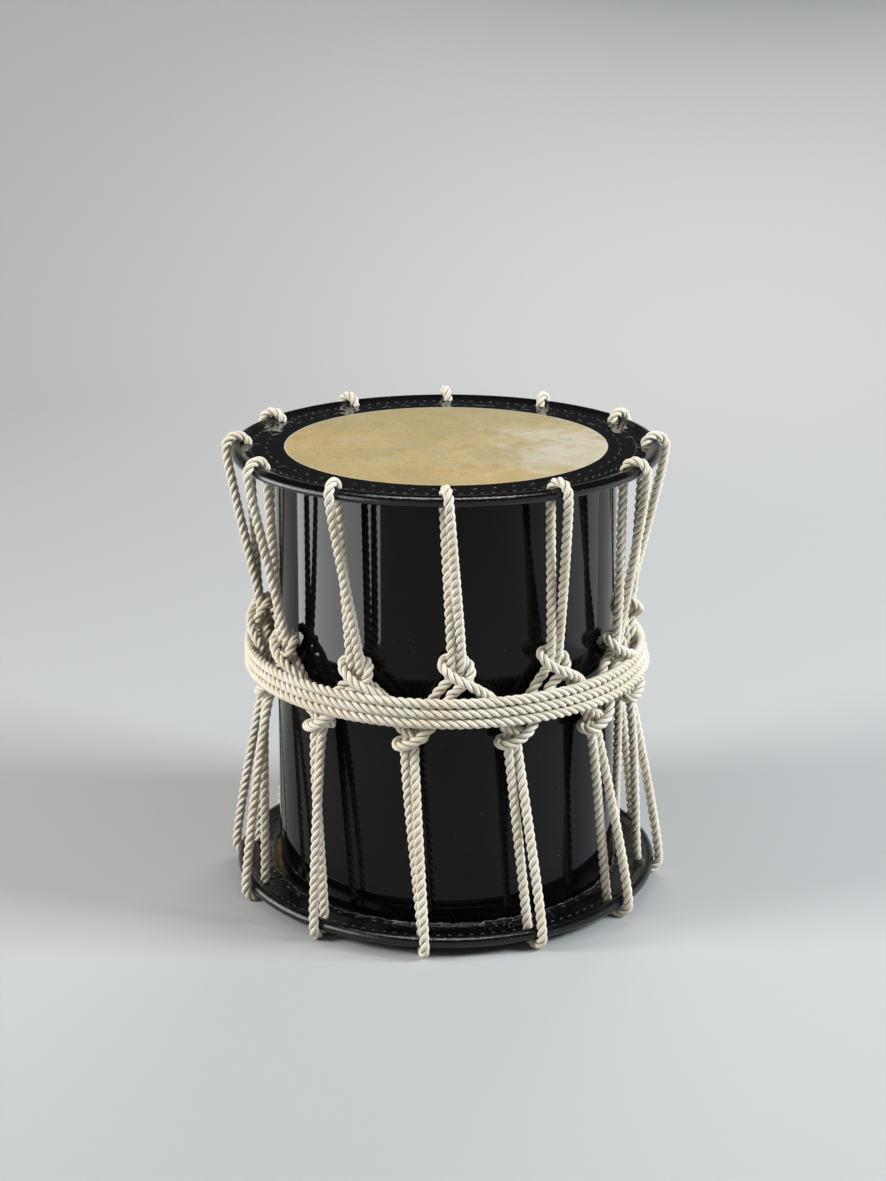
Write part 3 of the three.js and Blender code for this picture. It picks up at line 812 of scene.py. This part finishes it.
# A laid rope along a route: the section turns with the lay as it is carried along. One mesh for each
# stretch between the cuts, none of it below the floor.
def makeRope(name, route, cuts):
    path, measure = smoothRoute(route, ropeLook["step"])
    along = np.gradient(path, axis=0)
    along /= np.linalg.norm(along, axis=1)[:, None]
    across = carryAcross(along)
    beside = np.cross(along, across)
    reach, turn = strandSection()
    angle = turn[None, :] + (2 * math.pi / ropeLook["lay"]) * measure[:, None]
    outwards = np.cos(angle)[..., None] * across[:, None] + np.sin(angle)[..., None] * beside[:, None]
    points = path[:, None] + reach[None, :, None] * outwards
    points[..., 2] = np.maximum(points[..., 2], 0)
    columns = len(turn)
    strandCount = np.linspace(0, ropeLook["strands"], columns + 1)
    marks = np.linspace(0, len(path) - 1, cuts + 1).round().astype(int)
    for k, (first, last) in enumerate(zip(marks[:-1], marks[1:])):
        rows = last + 1 - first
        quads, tris = gridFaces(rows, columns), tubeCaps(rows, columns)
        quadUv = gridUv(measure[first:last + 1], strandCount)
        triUv = np.full((len(tris), 3, 2), 0.5)
        stretch = points[first:last + 1]
        piece = fillMesh(f"{name}_{k + 1:02d}", cotton, stretch, quads, tris, quadUv, triUv)
        putPiece(piece, [name])
    print(f"{name} made, {measure[-1]:.2f} m long")


# How far each hitch has slipped up, from the front one round to the right. The slip starts a little off
# the waist and is whole further off. All in rope diameters.
slips = dict(
    start=0.5, whole=3.0,
    upper=[0, -0.15, -1.1, 0.2, -0.4, 0.3, -0.2, -0.7, 0.1, 0.35, -0.35, -0.8],
    lower=[0, 0, -0.55, -0.5, 0.2, -0.4, 0.1, -0.3, 0.3, -0.2, 0.7, 0.2],
)


# Points near the waist, given in rope diameters as right, outwards and up from the middle of the waist at
# an angle round the drum, on the cylinder on which the strands cross. What lies off the waist slips up or
# down.
def nearWaist(angle, places, slip=0.0):
    right, outwards, up = np.asarray(places, float).T
    slipped = np.clip((np.abs(up) - slips["start"]) / (slips["whole"] - slips["start"]), 0, 1)
    turned = angle + right * ropeDiameter / strandRadius
    height = waistHeight + (up + slip * slipped) * ropeDiameter
    return polar(strandRadius + outwards * ropeDiameter, turned, height)


# Half a turn of rope about the rim from outside to inside, over a ring (side 1) or under it (side -1)
def loopOverRim(angle, height, side, steps=6):
    swing = np.linspace(0, math.pi, steps + 1)
    radius = ringRadius + loopRadius * np.cos(swing)
    lean = drum["loopLean"] * np.cos(swing) / radius
    return polar(radius, angle + lean, height + side * loopRadius * np.sin(swing))


# The two ends of a closed route meet halfway between its last point and its first
def withMeetingEnds(route):
    middle = (route[:1] + route[-1:]) / 2
    half = (route[:1] - route[-1:]) * drum["ropeGap"] / 2 / np.linalg.norm(route[0] - route[-1])
    return np.concatenate([middle + half, route, middle - half])


# Lacing: up over the top ring, down through the upper hitch, across to the lower hitch, under the bottom
# ring and back up. The hitches hold the strands in pairs and pull them in. Places in a pair are outwards
# and up, and those where a strand leaves for the next bay are right, outwards and up.
lacing = dict(
    half=0.48, upperPair=[(0, 5.8), (-0.25, 4.4), (-0.8, 3.2)], lowerPair=[(-0.75, -2.9), (-0.1, -4.6)],
    leaveLeft=(-2.2, -0.75, 1.1), leaveRight=(2.6, -0.75, 1.2), cuts=12,
)


# The left strand of a pair (side -1) or the right one (side 1)
def inPair(side, places):
    return np.column_stack([np.full(len(places), side * lacing["half"]), places])


def lacingRoute():
    upperPair, lowerPair = lacing["upperPair"], lacing["lowerPair"]
    rising = np.concatenate([[lacing["leaveRight"]], inPair(1, upperPair[::-1])])
    falling = np.concatenate([inPair(-1, upperPair), [lacing["leaveLeft"]]])
    route = []
    for k in range(drum["bayCount"]):
        bay = math.pi - k * bayAngle
        number = (drum["bayCount"] // 2 - k) % drum["bayCount"]
        upper = bay + math.radians(drum["upperHitchTurn"])
        lower = bay + math.radians(drum["lowerHitchTurn"])
        upperSlip, lowerSlip = slips["upper"][number], slips["lower"][number]
        route += [
            nearWaist(upper, rising, upperSlip),
            loopOverRim(bay + math.radians(drum["topLoopTurn"]), topRingHeight, 1),
            nearWaist(upper, falling, upperSlip),
            nearWaist(lower, inPair(1, lowerPair), lowerSlip),
            loopOverRim(bay + math.radians(drum["bottomLoopTurn"]), bottomRingHeight, -1),
            nearWaist(lower, inPair(-1, lowerPair[::-1]), lowerSlip),
        ]
    return withMeetingEnds(np.concatenate(route))


# Hitches: each comes from behind the waist, wraps once round its pair of strands, and crosses over itself
# back behind the waist. They are drawn tighter here than plain round rope could lie, because cotton
# gives. Places are right, outwards and up.
hitch = dict(
    upper=[
        (-1.15, 0, 0.1), (-0.85, -0.05, 0.9), (-0.5, -0.05, 1.5), (0, 0, 1.95), (0.5, 0.05, 2.4),
        (1, 0.1, 2.85), (1.38, 0.05, 3.4), (1.48, -0.25, 4.1), (1.05, -0.95, 4.75), (0, -1.15, 5),
        (-1, -0.95, 5), (-1.42, -0.2, 4.75), (-1.15, 0.3, 4.25), (-0.4, 0.65, 3.65), (0.7, 0.88, 3.05),
        (1.85, 0.75, 2.4), (2.75, 0.45, 1.75), (3.45, 0.1, 1.15), (4.05, 0, 0.5), (4.5, 0, -0.2),
        (4.55, 0, -0.9)],
    lower=[
        (-1.5, 0, -1.4), (-1.05, 0.05, -1.9), (-0.4, 0.1, -2.35), (0.45, 0.12, -2.75), (1.25, -0.15, -3.1),
        (1.2, -0.85, -3.4), (0.4, -1.22, -3.6), (-0.7, -1.2, -3.75), (-1.4, -0.5, -3.85),
        (-1.25, 0.25, -3.95), (-0.6, 0.6, -3.8), (0.3, 0.82, -3.35), (1.05, 0.88, -2.85),
        (1.65, 0.7, -2.3), (2.15, 0.35, -1.85), (2.5, 0.05, -1.45), (2.75, 0, -1)],
    cuts=4,
)


def hitchRoute():
    route = []
    for k in range(drum["bayCount"]):
        bay = math.pi + k * bayAngle
        number = (drum["bayCount"] // 2 + k) % drum["bayCount"]
        following = (number + 1) % drum["bayCount"]
        upper = bay + math.radians(drum["upperHitchTurn"])
        lower = bay + bayAngle + math.radians(drum["lowerHitchTurn"])
        route.append(nearWaist(upper, hitch["upper"], slips["upper"][number]))
        route.append(nearWaist(lower, hitch["lower"], slips["lower"][following]))
    return withMeetingEnds(np.concatenate(route))


# Waist: level turns, each stepping down to the next at the back, with both ends bent in between the
# strands. Towards the right the turns splay out downwards and sink a little. The step and the spacing of
# the points are in degrees, the ends in rope diameters, and places in a tucked end are right and
# outwards.
waist = dict(
    turns=3, pitch=0.0101, standoff=0.0106, splay=0.0022, tilt=0.0012, stepDown=28.0, stepAhead=10.0,
    afterStart=4.0, beforeEnd=3.0, every=5.0, start=6.5, end=1.3,
    tuckedEnd=[(-2, 1.04), (-0.9, 0.75), (-0.2, 0.1), (0, -0.8), (0, -1.87)], cuts=2,
)


def waistRoute():
    startBay = math.pi + math.radians(drum["upperHitchTurn"])
    start = startBay + waist["start"] * ropeDiameter / strandRadius
    end = startBay - bayAngle + waist["end"] * ropeDiameter / strandRadius + waist["turns"] * 2 * math.pi
    lead = -waist["tuckedEnd"][0][0] * ropeDiameter / strandRadius
    rise = waist["pitch"] * (waist["turns"] - 1) / 2
    first = start + lead + math.radians(waist["afterStart"])
    last = end - lead - math.radians(waist["beforeEnd"])
    angle = np.arange(first, last, math.radians(waist["every"]))
    done = (angle - start) / (2 * math.pi)
    stepShare = waist["stepDown"] / 360
    ramped = np.clip((done % 1 - 1 + waist["stepAhead"] / 360 + stepShare) / stepShare, 0, 1)
    stepped = np.floor(done) + ramped**2 * (3 - 2 * ramped)
    rightwards = 0.5 + 0.5 * np.sin(angle)
    reach = strandRadius + waist["standoff"] + waist["splay"] * (stepped - 1) * rightwards
    height = waistHeight + rise - waist["pitch"] * stepped - waist["tilt"] * rightwards
    up = rise / ropeDiameter
    firstEnd = [(-right, outwards, up) for right, outwards in waist["tuckedEnd"][::-1]]
    lastEnd = [(right, outwards, -up) for right, outwards in waist["tuckedEnd"]]
    turns = polar(reach, angle, height)
    return np.concatenate([nearWaist(start, firstEnd), turns, nearWaist(end, lastEnd)])


makeRope("lacing_rope", lacingRoute(), lacing["cuts"])
makeRope("hitch_rope", hitchRoute(), hitch["cuts"])
makeRope("waist_rope", waistRoute(), waist["cuts"])

# Stage: a pale round floor that curves up all round, far from the drum
stage = dict(
    middle=0.01, flat=2.4, bend=1.5, rise=1.06, around=96, flatSteps=12, bendSteps=24,
    pale=(0.45, 0.45, 0.445, 1), roughness=0.9,
)


def makeStage():
    top = math.asin(1 - stage["rise"] / stage["bend"])
    sweep = arc((stage["flat"], stage["bend"]), stage["bend"], -math.pi / 2, -top, stage["bendSteps"])
    line = np.concatenate([level(stage["middle"], stage["flat"], 0, stage["flatSteps"])[:-1], sweep])
    points = polar(line[:, :1], onceRound(stage["around"])[None, :], line[:, 1:])
    material, _, shader = newMaterial("paleFloor")
    shader.inputs["Base Color"].default_value = stage["pale"]
    shader.inputs["Roughness"].default_value = stage["roughness"]
    shader.inputs["Specular IOR Level"].default_value = 0.0
    fillMesh("stage_floor", material, points, gridFaces(*points.shape[:2])[:, ::-1])


# Soft studio light: a box overhead, large keys far off to the left, right and back that the gloss doesn't
# show, an even world, and cards overhead and at each side that only the gloss shows
lights = [
    dict(name="overheadBox", at=(0, -0.75, 2.1), to=(0, 0, 0.3), size=(1.8, 0.5), power=9),
    dict(name="leftKey", at=(-3.55, -1.02, 2.17), to=(0, 0, 0.25), size=(1.45, 1.45), power=114,
         spread=math.radians(150), unmirrored=True),
    dict(name="rightKey", at=(3.26, -0.7, 2.33), to=(0, 0, 0.25), size=(1.3, 1.3), power=130,
         spread=math.radians(150), colour=(0.87, 0.945, 1), unmirrored=True),
    dict(name="backKey", at=(0.7, 3.1, 1.9), to=(0, 0, 0.3), size=(1.8, 1.2), power=60, unmirrored=True),
    dict(name="topCard", at=(0, -0.8, 2.0), to=(0, 0, 0.3), size=(1.9, 0.3), power=32, card=True),
    dict(name="leftCard", at=(-0.79, -0.265, 0.22), to=(0.19, -0.075, 0.22), size=(1.12, 0.42), power=8.6,
         card=True),
    dict(name="rightCard", at=(0.92, 0.1, 0.22), to=(-0.065, -0.08, 0.22), size=(0.53, 0.42), power=0.4,
         card=True),
]
worldStrength = 0.04


def makeLights():
    for spec in lights:
        data = bpy.data.lights.new(spec["name"], "AREA")
        data.shape = "RECTANGLE"
        data.size, data.size_y = spec["size"]
        data.energy = spec["power"]
        data.spread = spec.get("spread", math.pi)
        data.color = spec.get("colour", (1, 1, 1))
        lamp = bpy.data.objects.new(spec["name"], data)
        lamp.location = spec["at"]
        lamp.rotation_euler = (Vector(spec["to"]) - Vector(spec["at"])).to_track_quat("-Z", "Y").to_euler()
        lamp.visible_camera = False
        lamp.visible_diffuse = not spec.get("card", False)
        lamp.visible_glossy = not spec.get("unmirrored", False)
        bpy.context.scene.collection.objects.link(lamp)
    world = bpy.data.worlds.new("evenSky")
    world.use_nodes = True
    background = world.node_tree.nodes["Background"]
    background.inputs["Color"].default_value = (1, 1, 1, 1)
    background.inputs["Strength"].default_value = worldStrength
    bpy.context.scene.world = world


# Camera at the photograph's place: distance from the axis, height and downward tilt found from the two
# rings, the tan disc and the rope loops. The photograph's middle lies below the line of sight, which
# takes the shift.
camera = dict(
    distance=2.3174, height=1.0521, sideways=-0.0033, tilt=11.663, shift=-0.2,
    focalPixels=2246.4, frameHeight=1181, sensor=36.0,
)


def makeCamera():
    data = bpy.data.cameras.new("camera")
    data.sensor_width = camera["sensor"]
    data.lens = camera["focalPixels"] / camera["frameHeight"] * camera["sensor"]
    data.shift_y = camera["shift"]
    eye = bpy.data.objects.new("camera", data)
    eye.location = (camera["sideways"], -camera["distance"], camera["height"])
    eye.rotation_euler = (math.radians(90 - camera["tilt"]), 0, 0)
    bpy.context.scene.collection.objects.link(eye)
    bpy.context.scene.camera = eye


makeStage()
makeLights()
makeCamera()
bpy.context.scene.view_settings.view_transform = "Standard"
print("stage, lights and camera made")
